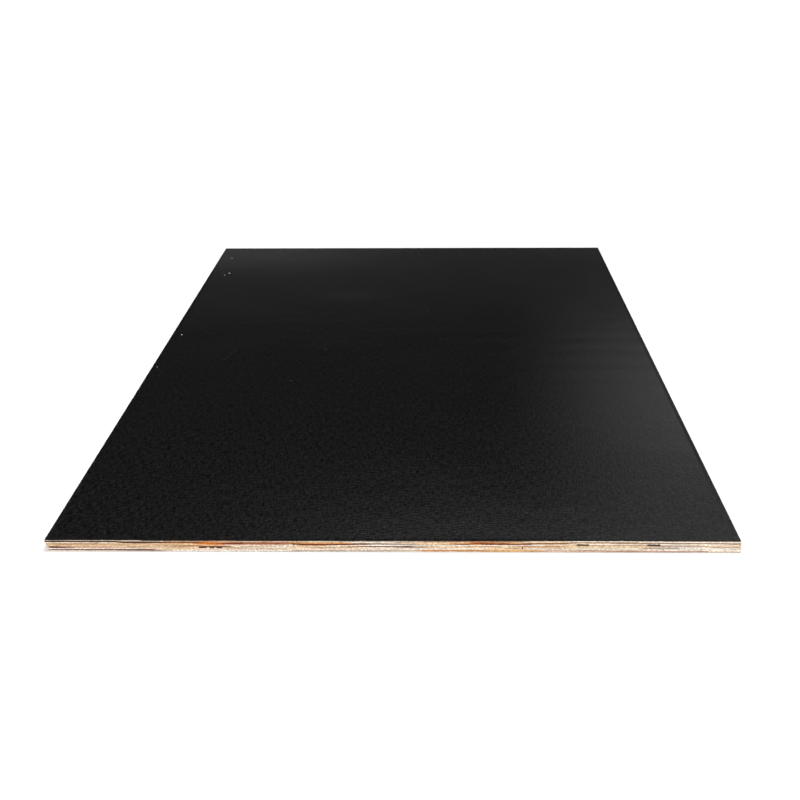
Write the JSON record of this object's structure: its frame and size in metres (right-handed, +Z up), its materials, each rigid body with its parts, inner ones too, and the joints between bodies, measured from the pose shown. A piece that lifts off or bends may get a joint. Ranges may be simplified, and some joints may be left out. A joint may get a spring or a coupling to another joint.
{
  "type": "film-faced plywood sheet",
  "caption": "Flat rectangular sheet of structural plywood, faced on both sides with smooth black film, with its glued veneers open to view at the sawn edges.",
  "frame": {"origin": "centre of the underside, on the surface that the sheet lies on", "axes": "+Y along the sheet's length and its face grain, +X across its width, +Z up through its thickness"},
  "size_m": [1.22, 2.44, 0.021],
  "materials": {
    "black_film": "satin black resin film, lightly scuffed",
    "face_veneer": "raw pale veneer, sawn edge",
    "crossband_veneer": "raw veneer, sawn edge, some stained and open knots",
    "long_core_veneer": "raw pale veneer, sawn end grain"
  },
  "bodies": {
    "root": {"film_top": "black_film", "face_veneer_top": "face_veneer", "crossband_upper": "crossband_veneer", "long_core_upper": "long_core_veneer", "crossband_centre": "crossband_veneer", "long_core_lower": "long_core_veneer", "crossband_lower": "crossband_veneer", "face_veneer_bottom": "face_veneer", "film_bottom": "black_film"}
  },
  "joints": []
}
